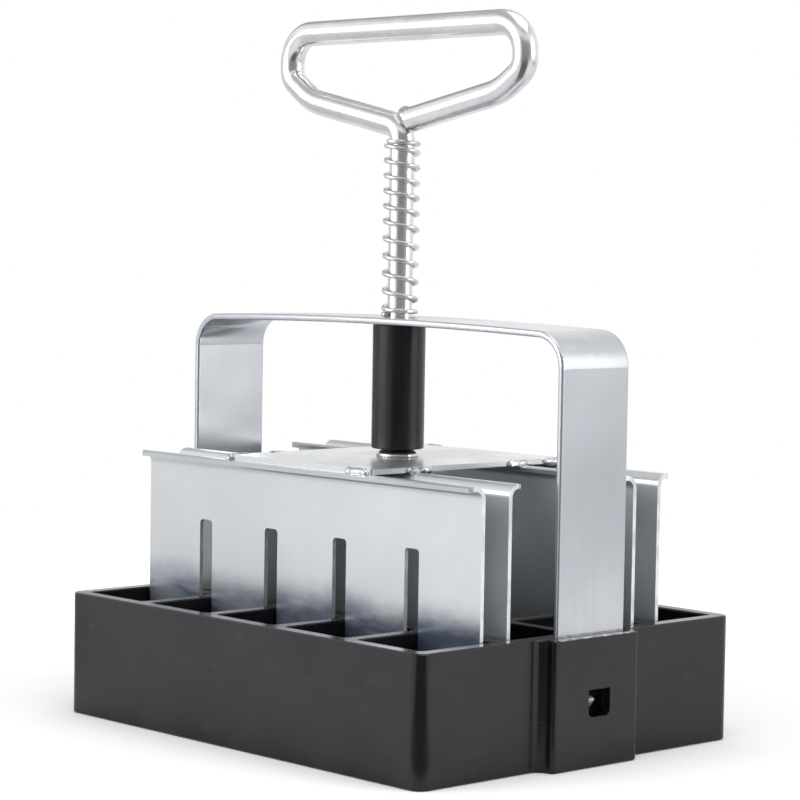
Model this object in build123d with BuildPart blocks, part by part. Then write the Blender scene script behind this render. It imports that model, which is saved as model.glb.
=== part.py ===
"""Hand soil blocker: a moulded cell grid, a strap frame and a sprung plunger.

Millimetres, +Z up. The origin is the bottom centre of the cell grid, +X runs
along its long side. The plunger is drawn at the top of its travel, where the
return spring holds it.
"""
import math
import os

from build123d import *

os.makedirs("parts", exist_ok=True)

# ---------------------------------------------------------------- cell grid
CELL = 20.0                # clear side of one square cell
WALL = 3.5                 # every divider and outer wall
COLUMNS = 5                # cells along X
ROWS = 4                   # cells along Y
GRID_HEIGHT = 28.5
GRID_CORNER_R = 3.0        # upright outer corners
CELL_CORNER_R = 1.0        # upright corners inside a cell
RIM_CHAMFER = 0.3

CELL_PITCH = CELL + WALL
GRID_LENGTH = COLUMNS * CELL_PITCH + WALL
GRID_WIDTH = ROWS * CELL_PITCH + WALL
END_WALL_IN_X = GRID_LENGTH / 2 - WALL

# ------------------------------------------------- sockets on the end walls
BOSS_PROUD = 3.9           # stands out of the end wall
BOSS_WIDTH = 26.7
BOSS_ROOT_R = 2.5          # hollow fillet where it meets the end wall
BOSS_EDGE_R = 1.2
WINDOW_WIDTH = 6.7
WINDOW_SHIFT_Y = 0.8       # window centre off the socket's middle
WINDOW_BOTTOM = 11.0
WINDOW_TOP = 17.0
WINDOW_CORNER_R = 1.3      # lower corners
SOCKET_SIDE_CLEAR = 0.2
SOCKET_FACE_CLEAR = 0.15

# -------------------------------------------------------------------- strap
STRAP_WIDTH = 21.0
STRAP_THICK = 1.5
STRAP_EDGE_R = 0.6
STRAP_OUT_X = 62.3         # outer face of each leg
STRAP_TOP = 95.0           # crown of the slight arch
STRAP_ARCH_R = 1550.0
STRAP_BEND_R = 7.25        # on the sheet's middle
STRAP_FOOT = 6.0           # leg end, seated on the socket floor
STRAP_LEG_TURN = 90.0      # from level crown to upright leg
LATCH_HOLE_PAST = 1.6      # hole in each leg, past the window on the barb's far side
LATCH_HOLE_CLEAR = 0.4     # past the window above and below
LATCH_CLEAR = 0.1          # between the barb and the window's side
LATCH_WIDTH = 1.9          # barb at the side of that hole
LATCH_PROUD = 1.8
LATCH_HEIGHT = 2.4
LATCH_BELOW_WINDOW = 1.6
LATCH_NOSE = 0.6           # bevel of the barb's upper nose

STRAP_MID_X = STRAP_OUT_X - STRAP_THICK / 2
STRAP_UNDER = STRAP_TOP - STRAP_THICK

# --------------------------------------------------------- push rod and grip
ROD_D = 5.8
ROD_HOLE_D = ROD_D + 0.6   # running clearance in the strap
NECK_Z = 138.7             # where rod and grip arms meet
NECK_BEND_R = 4.0
GRIP_SIDE_X = 39.1         # the grip's two sides, from the rod's axis
GRIP_RISE = 22.5           # bar above the neck
GRIP_BAR_Z = NECK_Z + GRIP_RISE
GRIP_TOP_BEND_R = 7.0
GRIP_SIDE_RUN = 10.4       # each side, from the bar down to its inward turn
GRIP_SIDE_LOW_Z = GRIP_BAR_Z - GRIP_SIDE_RUN
GRIP_SIDE_BEND_R = 4.6
GRIP_LEFT_LOW_X = -31.1    # corner between the left arm and its side
GRIP_LEFT_LOW_RISE = 6.5   # above the neck
GRIP_RIGHT_LOW_X = 31.9
GRIP_RIGHT_LOW_RISE = 7.3
GRIP_LOW_BEND_R = 17.4
GRIP_BUTT_X = 3.0          # end of the right arm, beside the neck
GRIP_BUTT_RISE = 1.6
GRIP_WELD_R = 2.9
GRIP_WELD_IN = 1.2         # towards the neck from the arm's end
GRIP_WELD_UP = 0.6

# -------------------------------------------------------------- press combs
SHEET = 1.0
COMB_PAIR_WIDTH = 9.0      # over the two legs that straddle a divider
COMB_TOP = 61.6            # crest of the rolled lips
LIP_BEND_R = 2.9           # outside of the bend
LIP_TURN = 112.0           # degrees away from the upright leg
LIP_TIP = 0.5              # straight run past the bend
LIP_CORNER_R = 1.6         # rounded ends, seen from above
END_WALL_CLEAR = 0.5
STROKE = 18.0
STOP_GAP = 0.05            # left between stop faces at the end of travel
SLOT_WIDTH = WALL + 1.0
SLOT_TOP = GRID_HEIGHT + STROKE + STOP_GAP
SLOT_CORNER_R = 1.0

LEG_END_X = END_WALL_IN_X - END_WALL_CLEAR
CREST_OFF_DIVIDER = COMB_PAIR_WIDTH / 2 - SHEET + LIP_BEND_R

# ------------------------------------------------------------- press plates
PRESS_CLEAR = 0.35         # to each cell wall
PRESS_THICK = 1.2
SEED_PIN_R = 3.0
SEED_PIN_DEPTH = 1.0
SEED_DISH_R = 2.2
SEED_DISH_DEPTH = 0.8
PRESS_SIDE = CELL - 2 * PRESS_CLEAR
PRESS_UNDER = STROKE + SEED_PIN_DEPTH + 0.2
PRESS_TOP = PRESS_UNDER + PRESS_THICK

# ------------------------------------------------------------- bridge plate
BRIDGE_LENGTH = 48.0
BRIDGE_PAST_CREST = 0.1
BRIDGE_WIDTH = 2 * (CELL_PITCH + CREST_OFF_DIVIDER + BRIDGE_PAST_CREST)
BRIDGE_THICK = 1.2
BRIDGE_CORNER_R = 1.0
BRIDGE_TOP = COMB_TOP + BRIDGE_THICK
ROD_SEAT_D = ROD_D + 0.1

# ----------------------------------------------- collar weld and stop sleeve
COLLAR_HEIGHT = 1.8
COLLAR_TOP = BRIDGE_TOP + COLLAR_HEIGHT
COLLAR_TOP_R = 3.8
COLLAR_BASE_R = 5.2
SLEEVE_D = 12.2
SLEEVE_BORE_D = ROD_D + 0.4
SLEEVE_TOP = STRAP_UNDER - STOP_GAP
SLEEVE_EDGE_R = 0.5

# ------------------------------------------------------------ return spring
WIRE_D = 1.1
SPRING_BORE_CLEAR = 0.3
COIL_R = ROD_D / 2 + SPRING_BORE_CLEAR + WIRE_D / 2
COIL_PITCH = 3.85
SPRING_BELOW_NECK = 2.9
SPRING_TOP = NECK_Z - SPRING_BELOW_NECK
SPRING_LENGTH = SPRING_TOP - STRAP_TOP

# --------------------------------------------------------------- weld beads
BEAD_HALF_LENGTH = 2.7
BEAD_R = 1.25
BEAD_OUT = 0.1             # bead's middle past the plate's edge
BEAD_UP = 0.35             # bead's middle above the plate's underside
BEAD_EDGE_X = 19.5         # of the bead along the long edge
BEAD_CORNER_Y = 27.4       # of the bead by the other corner
BEAD_INNER_OFF = 1.5       # from the inner lip's crest towards the middle


def column_x(column):
    """Centre of a cell column, counted from -X."""
    return (column - (COLUMNS - 1) / 2) * CELL_PITCH


def row_y(row):
    """Centre of a cell row, counted from -Y."""
    return (row - (ROWS - 1) / 2) * CELL_PITCH


def bent_line(points, radii):
    """Straight runs through (x, z) points at Y = 0, joined by tangent arcs."""
    nodes = [Vector(x, 0, z) for x, z in points]
    cursor = nodes[0]
    for before, corner, after, radius in zip(nodes, nodes[1:], nodes[2:], radii):
        way_in = (corner - before).normalized()
        way_out = (after - corner).normalized()
        half_turn = math.radians(way_in.get_angle(way_out)) / 2
        trim = radius * math.tan(half_turn)
        arc_start = corner - way_in * trim
        arc_end = corner + way_out * trim
        inward = (way_out - way_in).normalized()
        arc_middle = corner + inward * (radius / math.cos(half_turn) - radius)
        Line(cursor, arc_start)
        ThreePointArc(arc_start, arc_middle, arc_end)
        cursor = arc_end
    Line(cursor, nodes[-1])


# ================================================================ cell grid
with BuildPart() as block_grid:
    with BuildSketch():
        Rectangle(GRID_LENGTH, GRID_WIDTH)
        fillet(vertices(), GRID_CORNER_R)
        boss_reach = GRID_LENGTH + 2 * BOSS_PROUD
        Rectangle(boss_reach, BOSS_WIDTH)
        on_end = [v for v in vertices() if abs(v.X) > boss_reach / 2 - 0.1]
        fillet(on_end, BOSS_EDGE_R)
        at_root = [
            v for v in vertices()
            if abs(abs(v.X) - GRID_LENGTH / 2) < 0.01
            and abs(abs(v.Y) - BOSS_WIDTH / 2) < 0.01
        ]
        fillet(at_root, BOSS_ROOT_R)
    extrude(amount=GRID_HEIGHT)
    with BuildSketch():
        with GridLocations(CELL_PITCH, CELL_PITCH, COLUMNS, ROWS):
            RectangleRounded(CELL, CELL, CELL_CORNER_R)
    extrude(amount=GRID_HEIGHT, mode=Mode.SUBTRACT)
    # blind sockets that take the strap's legs
    with BuildSketch(Plane.XY.offset(STRAP_FOOT)):
        with Locations((-STRAP_MID_X, 0), (STRAP_MID_X, 0)):
            Rectangle(
                STRAP_THICK + 2 * SOCKET_FACE_CLEAR,
                STRAP_WIDTH + 2 * SOCKET_SIDE_CLEAR,
            )
    extrude(amount=GRID_HEIGHT, mode=Mode.SUBTRACT)
    chamfer(faces().sort_by(Axis.Z)[-1].edges(), RIM_CHAMFER)
    chamfer(faces().sort_by(Axis.Z)[0].edges(), RIM_CHAMFER)
    # latch windows through the outer wall of each socket
    for side in (-1, 1):
        with BuildSketch(Plane.YZ.offset(side * STRAP_MID_X)):
            with Locations((side * WINDOW_SHIFT_Y, (WINDOW_BOTTOM + WINDOW_TOP) / 2)):
                Rectangle(WINDOW_WIDTH, WINDOW_TOP - WINDOW_BOTTOM)
            fillet(vertices().group_by(Axis.Y)[0], WINDOW_CORNER_R)
        extrude(amount=side * (BOSS_PROUD + STRAP_THICK), mode=Mode.SUBTRACT)
block_grid.part.label = "block_grid"
export_step(block_grid.part, "parts/block_grid.step")

# ============================================================= handle strap
with BuildPart() as handle_strap:
    bend_reach = STRAP_MID_X - STRAP_BEND_R
    half_arch = math.degrees(math.asin(bend_reach / (STRAP_ARCH_R - STRAP_BEND_R)))
    with BuildLine(Plane.XZ) as strap_path:
        arch = JernArc(
            start=(0, STRAP_TOP - STRAP_THICK / 2),
            tangent=(1, 0),
            radius=STRAP_ARCH_R,
            arc_size=-half_arch,
        )
        shoulder = JernArc(
            start=arch @ 1,
            tangent=arch % 1,
            radius=STRAP_BEND_R,
            arc_size=-(STRAP_LEG_TURN - half_arch),
        )
        Line(shoulder @ 1, (STRAP_MID_X, STRAP_FOOT))
        mirror(about=Plane.YZ)
    with BuildSketch(Plane.XY.offset(STRAP_FOOT)):
        with Locations((-STRAP_MID_X, 0)):
            RectangleRounded(STRAP_THICK, STRAP_WIDTH, STRAP_EDGE_R)
    sweep(path=strap_path.wires()[0])
    with Locations((0, 0, STRAP_TOP)):
        Cylinder(ROD_HOLE_D / 2, 4 * STRAP_THICK, mode=Mode.SUBTRACT)
    # a hole behind each socket window, with a barb at one side of it
    for side in (-1, 1):
        hole_width = WINDOW_WIDTH + LATCH_HOLE_PAST - LATCH_CLEAR
        hole_middle = WINDOW_SHIFT_Y + (LATCH_HOLE_PAST + LATCH_CLEAR) / 2
        hole_edge_y = side * (hole_middle - hole_width / 2)
        with BuildSketch(Plane.YZ.offset(side * STRAP_MID_X)):
            with Locations((side * hole_middle, (WINDOW_BOTTOM + WINDOW_TOP) / 2)):
                Rectangle(hole_width, WINDOW_TOP - WINDOW_BOTTOM + 2 * LATCH_HOLE_CLEAR)
        extrude(amount=STRAP_THICK, both=True, mode=Mode.SUBTRACT)
        barb_top = WINDOW_TOP - LATCH_BELOW_WINDOW
        barb_low = barb_top - LATCH_HEIGHT
        nose_x = STRAP_OUT_X + LATCH_PROUD
        with BuildSketch(Plane.XZ.offset(-hole_edge_y)):
            with BuildLine():
                Polyline(
                    (side * (STRAP_OUT_X - STRAP_THICK), barb_top),
                    (side * (nose_x - LATCH_NOSE), barb_top),
                    (side * nose_x, barb_top - LATCH_NOSE),
                    (side * (STRAP_OUT_X + LATCH_NOSE), barb_low),
                    (side * (STRAP_OUT_X - STRAP_THICK), barb_low),
                    close=True,
                )
            make_face()
        extrude(amount=-side * LATCH_WIDTH)
handle_strap.part.label = "handle_strap"
export_step(handle_strap.part, "parts/handle_strap.step")

# ========================================================= push rod and grip
with BuildPart() as push_rod:
    with BuildLine() as rod_path:
        bent_line(
            [
                (0, COMB_TOP),
                (0, NECK_Z),
                (GRIP_LEFT_LOW_X, NECK_Z + GRIP_LEFT_LOW_RISE),
                (-GRIP_SIDE_X, GRIP_SIDE_LOW_Z),
                (-GRIP_SIDE_X, GRIP_BAR_Z),
                (GRIP_SIDE_X, GRIP_BAR_Z),
                (GRIP_SIDE_X, GRIP_SIDE_LOW_Z),
                (GRIP_RIGHT_LOW_X, NECK_Z + GRIP_RIGHT_LOW_RISE),
                (GRIP_BUTT_X, NECK_Z + GRIP_BUTT_RISE),
            ],
            [
                NECK_BEND_R,
                GRIP_LOW_BEND_R,
                GRIP_SIDE_BEND_R,
                GRIP_TOP_BEND_R,
                GRIP_TOP_BEND_R,
                GRIP_SIDE_BEND_R,
                GRIP_LOW_BEND_R,
            ],
        )
    with BuildSketch(Plane.XY.offset(COMB_TOP)):
        Circle(ROD_D / 2)
    sweep(path=rod_path.wires()[0])
push_rod.part.label = "push_rod"
export_step(push_rod.part, "parts/push_rod.step")

# ================================================================ grip weld
with BuildPart() as grip_weld:
    weld_z = NECK_Z + GRIP_BUTT_RISE + GRIP_WELD_UP
    with Locations((GRIP_BUTT_X - GRIP_WELD_IN, 0, weld_z)):
        Sphere(GRIP_WELD_R)
    add(push_rod.part, mode=Mode.SUBTRACT)
    largest = solids().sort_by(SortBy.VOLUME)[-1]
    add(largest, mode=Mode.REPLACE)
grip_weld.part.label = "grip_weld"
export_step(grip_weld.part, "parts/grip_weld.step")

# ============================================================== press combs
# one for each row of cells; two of them straddle each outer divider, and their
# lips roll away from it
COMBS = {
    "front_outer_comb": (-CELL_PITCH, -1),
    "front_inner_comb": (-CELL_PITCH, 1),
    "back_inner_comb": (CELL_PITCH, -1),
    "back_outer_comb": (CELL_PITCH, 1),
}
comb_builders = {}
for name, (divider_y, lip_side) in COMBS.items():
    with BuildPart() as press_comb:
        leg_in_y = divider_y + lip_side * (COMB_PAIR_WIDTH / 2 - SHEET)
        bend_y = leg_in_y + lip_side * LIP_BEND_R
        bend_z = COMB_TOP - LIP_BEND_R

        def on_bend(radius, degrees, past=0.0):
            """A point on the lip's bend, or past its end along the straight run."""
            turn = math.radians(degrees)
            return (
                bend_y + lip_side * (past * math.sin(turn) - radius * math.cos(turn)),
                bend_z + radius * math.sin(turn) + past * math.cos(turn),
            )

        with BuildSketch(Plane.YZ.offset(-LEG_END_X)):
            with BuildLine():
                inner_r = LIP_BEND_R - SHEET
                Line((leg_in_y, PRESS_TOP), on_bend(LIP_BEND_R, 0))
                ThreePointArc(*(on_bend(LIP_BEND_R, LIP_TURN * share) for share in (0, 0.5, 1)))
                Polyline(
                    on_bend(LIP_BEND_R, LIP_TURN),
                    on_bend(LIP_BEND_R, LIP_TURN, LIP_TIP),
                    on_bend(inner_r, LIP_TURN, LIP_TIP),
                    on_bend(inner_r, LIP_TURN),
                )
                ThreePointArc(*(on_bend(inner_r, LIP_TURN * share) for share in (1, 0.5, 0)))
                Polyline(
                    on_bend(inner_r, 0),
                    (leg_in_y + lip_side * SHEET, PRESS_TOP),
                    (leg_in_y, PRESS_TOP),
                )
            make_face()
        extrude(amount=2 * LEG_END_X)
        # rounded ends of the lip
        tip_y = on_bend(LIP_BEND_R, LIP_TURN, LIP_TIP)[0]
        inset_y = tip_y - lip_side * LIP_CORNER_R
        inset_x = LEG_END_X - LIP_CORNER_R
        bulge = LIP_CORNER_R * math.sqrt(0.5)
        for end in (-1, 1):
            with BuildSketch(Plane.XY.offset(COMB_TOP)):
                with BuildLine():
                    Polyline(
                        (end * inset_x, tip_y),
                        (end * LEG_END_X, tip_y),
                        (end * LEG_END_X, inset_y),
                    )
                    ThreePointArc(
                        (end * LEG_END_X, inset_y),
                        (end * (inset_x + bulge), inset_y + lip_side * bulge),
                        (end * inset_x, tip_y),
                    )
                make_face()
            extrude(amount=-LIP_BEND_R, mode=Mode.SUBTRACT)
        # slots over the dividers that the comb crosses
        with BuildSketch(Plane.XZ.offset(-divider_y)):
            with GridLocations(CELL_PITCH, 1, COLUMNS - 1, 1):
                with Locations((0, (SLOT_TOP + PRESS_TOP) / 2)):
                    Rectangle(SLOT_WIDTH, SLOT_TOP - PRESS_TOP)
            fillet(vertices().group_by(Axis.Y)[-1], SLOT_CORNER_R)
        extrude(amount=COMB_PAIR_WIDTH, both=True, mode=Mode.SUBTRACT)
    press_comb.part.label = name
    export_step(press_comb.part, f"parts/{name}.step")
    comb_builders[name] = press_comb

# ============================================================= press plates
for row in range(ROWS):
    for column in range(COLUMNS):
        with BuildPart() as press_plate:
            with BuildSketch(Plane.XY.offset(PRESS_UNDER)):
                RectangleRounded(PRESS_SIDE, PRESS_SIDE, CELL_CORNER_R)
            extrude(amount=PRESS_THICK)
            with BuildSketch(Plane.XY.offset(PRESS_UNDER)):
                Circle(SEED_PIN_R)
            extrude(amount=-SEED_PIN_DEPTH)
            fillet(edges().group_by(Axis.Z)[0], SEED_PIN_DEPTH * 0.9)
            with BuildSketch(Plane.XY.offset(PRESS_TOP)):
                Circle(SEED_DISH_R)
            extrude(amount=-SEED_DISH_DEPTH, mode=Mode.SUBTRACT)
        label = f"press_plate_r{row + 1}_c{column + 1}"
        placed = Pos(column_x(column), row_y(row), 0) * press_plate.part
        placed.label = label
        export_step(placed, f"parts/{label}.step")

# ============================================================= bridge plate
with BuildPart() as bridge_plate:
    with BuildSketch(Plane.XY.offset(COMB_TOP)):
        RectangleRounded(BRIDGE_LENGTH, BRIDGE_WIDTH, BRIDGE_CORNER_R)
        Circle(ROD_SEAT_D / 2, mode=Mode.SUBTRACT)
    extrude(amount=BRIDGE_THICK)
bridge_plate.part.label = "bridge_plate"
export_step(bridge_plate.part, "parts/bridge_plate.step")

# ======================================================= bridge weld beads
with BuildPart() as weld_bead:
    # one round-ended bead, long axis X, centred on the origin
    bead_run = BEAD_HALF_LENGTH - BEAD_R
    Cylinder(BEAD_R, 2 * bead_run, rotation=(0, 90, 0))
    with Locations((-bead_run, 0, 0), (bead_run, 0, 0)):
        Sphere(BEAD_R)

bead_z = COMB_TOP + BEAD_UP
side_x = BRIDGE_LENGTH / 2 + BEAD_OUT
edge_y = BRIDGE_WIDTH / 2 + BEAD_OUT
inner_y = CELL_PITCH - CREST_OFF_DIVIDER - BEAD_INNER_OFF
# along X on the long edges, along Y by the other corners and at the inner lips
bead_sites = [Pos(side * BEAD_EDGE_X, -side * edge_y, bead_z) for side in (-1, 1)]
for place_x, place_y in (
    (-side_x, -BEAD_CORNER_Y),
    (side_x, BEAD_CORNER_Y),
    (-side_x, -inner_y),
    (-side_x, inner_y),
    (side_x, -inner_y),
    (side_x, inner_y),
):
    bead_sites.append(Pos(place_x, place_y, bead_z) * Rot(0, 0, 90))

with BuildPart() as bridge_weld_beads:
    for site in bead_sites:
        add(site * weld_bead.part)
    # no weld reaches under the plate between the outer crests
    with Locations((0, 0, COMB_TOP - BEAD_R)):
        Box(BRIDGE_LENGTH, 2 * (CELL_PITCH + CREST_OFF_DIVIDER), 2 * BEAD_R, mode=Mode.SUBTRACT)
    add(bridge_plate.part, mode=Mode.SUBTRACT)
    for comb in comb_builders.values():
        add(comb.part, mode=Mode.SUBTRACT)
bridge_weld_beads.part.label = "bridge_weld_beads"
export_step(bridge_weld_beads.part, "parts/bridge_weld_beads.step")

# ============================================================== rod collar
with BuildPart() as rod_collar_weld:
    with BuildSketch(Plane.XZ):
        with BuildLine():
            ThreePointArc(
                (COLLAR_BASE_R, BRIDGE_TOP),
                (COLLAR_TOP_R + 0.35, BRIDGE_TOP + 0.85),
                (COLLAR_TOP_R, COLLAR_TOP),
            )
            Polyline(
                (COLLAR_TOP_R, COLLAR_TOP),
                (ROD_D / 2, COLLAR_TOP),
                (ROD_D / 2, BRIDGE_TOP),
                (COLLAR_BASE_R, BRIDGE_TOP),
            )
        make_face()
    revolve(axis=Axis.Z)
rod_collar_weld.part.label = "rod_collar_weld"
export_step(rod_collar_weld.part, "parts/rod_collar_weld.step")

# ============================================================= stop sleeve
with BuildPart() as stop_sleeve:
    with BuildSketch(Plane.XY.offset(COLLAR_TOP)):
        Circle(SLEEVE_D / 2)
        Circle(SLEEVE_BORE_D / 2, mode=Mode.SUBTRACT)
    extrude(amount=SLEEVE_TOP - COLLAR_TOP)
    rims = edges().filter_by(GeomType.CIRCLE).filter_by(lambda e: e.radius > SLEEVE_BORE_D / 2 + 0.1)
    fillet(rims, SLEEVE_EDGE_R)
stop_sleeve.part.label = "stop_sleeve"
export_step(stop_sleeve.part, "parts/stop_sleeve.step")

# =========================================================== return spring
with BuildPart() as return_spring:
    with BuildLine():
        coil = Helix(
            pitch=COIL_PITCH,
            height=SPRING_LENGTH,
            radius=COIL_R,
            center=(0, 0, STRAP_TOP),
        )
    with BuildSketch(Plane(origin=coil @ 0, z_dir=coil % 0)):
        Circle(WIRE_D / 2)
    sweep()
    # both ends ground flat
    with Locations((0, 0, (STRAP_TOP + SPRING_TOP) / 2)):
        Cylinder(COIL_R + WIRE_D, SPRING_LENGTH, mode=Mode.INTERSECT)
return_spring.part.label = "return_spring"
export_step(return_spring.part, "parts/return_spring.step")
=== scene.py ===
"""Looks of a twenty-cell soil blocker: moulded grid, zinc strap and sprung plunger.

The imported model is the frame. Its solids are dressed here, and the spring, the
welds and the moulding flash are modelled in more detail than the solids have.
"""

import logging
import math
from dataclasses import dataclass
from enum import Enum
from functools import cache

import bmesh
import bpy
from mathutils import Matrix, Vector, noise


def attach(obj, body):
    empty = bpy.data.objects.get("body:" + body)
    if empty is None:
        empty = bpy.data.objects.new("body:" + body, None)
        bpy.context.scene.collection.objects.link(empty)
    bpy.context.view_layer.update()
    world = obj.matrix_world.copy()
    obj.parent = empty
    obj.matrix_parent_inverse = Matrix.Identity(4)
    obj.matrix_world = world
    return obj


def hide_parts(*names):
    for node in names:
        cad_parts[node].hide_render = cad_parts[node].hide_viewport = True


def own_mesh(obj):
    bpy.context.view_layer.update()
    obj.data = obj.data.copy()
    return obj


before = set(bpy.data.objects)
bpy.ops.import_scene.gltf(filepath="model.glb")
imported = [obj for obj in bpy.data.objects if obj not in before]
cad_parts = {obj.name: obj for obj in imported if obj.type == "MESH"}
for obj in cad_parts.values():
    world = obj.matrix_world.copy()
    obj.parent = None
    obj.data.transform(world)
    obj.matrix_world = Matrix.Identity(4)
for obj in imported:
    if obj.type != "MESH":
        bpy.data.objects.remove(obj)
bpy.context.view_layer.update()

Pair = tuple[float, float]
Triple = tuple[float, float, float]
Colour = tuple[float, float, float]

MM = 0.001  # a millimetre in metres
MERGE = 1e-7  # distance within which vertices are merged, in metres
SEED_SPREAD = (1.0, 1.7, 0.6)  # how far a seed shifts the noise along each axis
WHITE = (1.0, 1.0, 1.0)
log = logging.getLogger("soil_blocker")


class Body(Enum):
    """The two bodies that pieces ride on."""

    FRAME = "frame"
    PLUNGER = "plunger"


class Slot(Enum):
    """Names of the record's material slots for new pieces; nothing here reads them."""

    PLASTIC = "moulded_plastic"
    WIRE = "spring_wire"
    WELD = "weld_metal"


# --- Node helpers and shared effects ---


class NodePad:
    """A node tree with short calls for adding and linking nodes.

    Attributes:
        COLUMN: Distance between columns of nodes in the editor.
        ROW: Distance between rows of nodes there.
        PER_ROW: Nodes in a row.
        MIX_INPUTS: Places of a Mix node's factor and two colours among its inputs.
        MIX_RESULT: Place of its colour among its outputs.
    """

    COLUMN = 180
    ROW = -220
    PER_ROW = 9
    MIX_INPUTS = (0, 6, 7)
    MIX_RESULT = 2

    def __init__(self, tree: bpy.types.NodeTree) -> None:
        """Takes a node tree and empties it."""
        self.tree = tree
        tree.nodes.clear()

    def add(self, kind: str, **settings: object) -> bpy.types.Node:
        """Adds a node.

        Args:
            kind: The node's type, without the ShaderNode prefix.
            settings: Attributes to set on it.

        Returns:
            The new node.
        """
        full = kind if kind.startswith("Node") else "ShaderNode" + kind
        node = self.tree.nodes.new(full)
        for key, value in settings.items():
            setattr(node, key, value)
        row, column = divmod(len(self.tree.nodes), self.PER_ROW)
        node.location = (self.COLUMN * column, self.ROW * row)
        return node

    def put(self, socket: bpy.types.NodeSocket, value: object) -> None:
        """Links an output to an input, or sets the input to a value.

        Args:
            socket: The input.
            value: An output socket, a number, a vector, or a colour without its alpha.
        """
        if isinstance(value, bpy.types.NodeSocket):
            self.tree.links.new(value, socket)
        elif socket.type == "RGBA":
            socket.default_value = (*value, 1.0)
        else:
            socket.default_value = value

    def feed(self, node: bpy.types.Node, **inputs: object) -> bpy.types.Node:
        """Links or sets a node's inputs by name.

        Args:
            node: The node to feed.
            inputs: Socket names, with _ for a space, and what each gets, as for put.

        Returns:
            The same node.
        """
        for name, value in inputs.items():
            self.put(node.inputs[name.replace("_", " ")], value)
        return node

    def chain(self, kind: str, *values: object, **settings: object) -> bpy.types.Node:
        """Adds a node and fills its inputs in their order.

        Args:
            kind: The node's type, as for add.
            values: What each input gets, from the first on, as for put.
            settings: Attributes to set on the node.

        Returns:
            The new node.
        """
        node = self.add(kind, **settings)
        for socket, value in zip(node.inputs, values):
            self.put(socket, value)
        return node

    def math(self, operation: str, *values: object) -> bpy.types.NodeSocket:
        """Adds a Math node with its values in their order, and returns its output."""
        return self.chain("Math", *values, operation=operation).outputs[0]

    def span(self, value: bpy.types.NodeSocket, low: object, high: object, to_low: float = 0.0,
             to_high: float = 1.0) -> bpy.types.NodeSocket:
        """Maps a value smoothly from one span to another.

        Args:
            value: The value to map.
            low: Start of the span.
            high: End of the span.
            to_low: Result at the start.
            to_high: Result at the end.

        Returns:
            The mapped value.
        """
        node = self.add("MapRange", interpolation_type="SMOOTHSTEP")
        self.feed(node, Value=value, From_Min=low, From_Max=high, To_Min=to_low, To_Max=to_high)
        return node.outputs["Result"]

    def mix(self, factor: object, first: object, second: object) -> bpy.types.NodeSocket:
        """Mixes two colours.

        Args:
            factor: Share of the second colour.
            first: First colour or socket.
            second: Second colour or socket.

        Returns:
            The mixed colour.
        """
        node = self.add("Mix", data_type="RGBA")
        for place, value in zip(self.MIX_INPUTS, (factor, first, second)):
            self.put(node.inputs[place], value)
        return node.outputs[self.MIX_RESULT]


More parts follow.
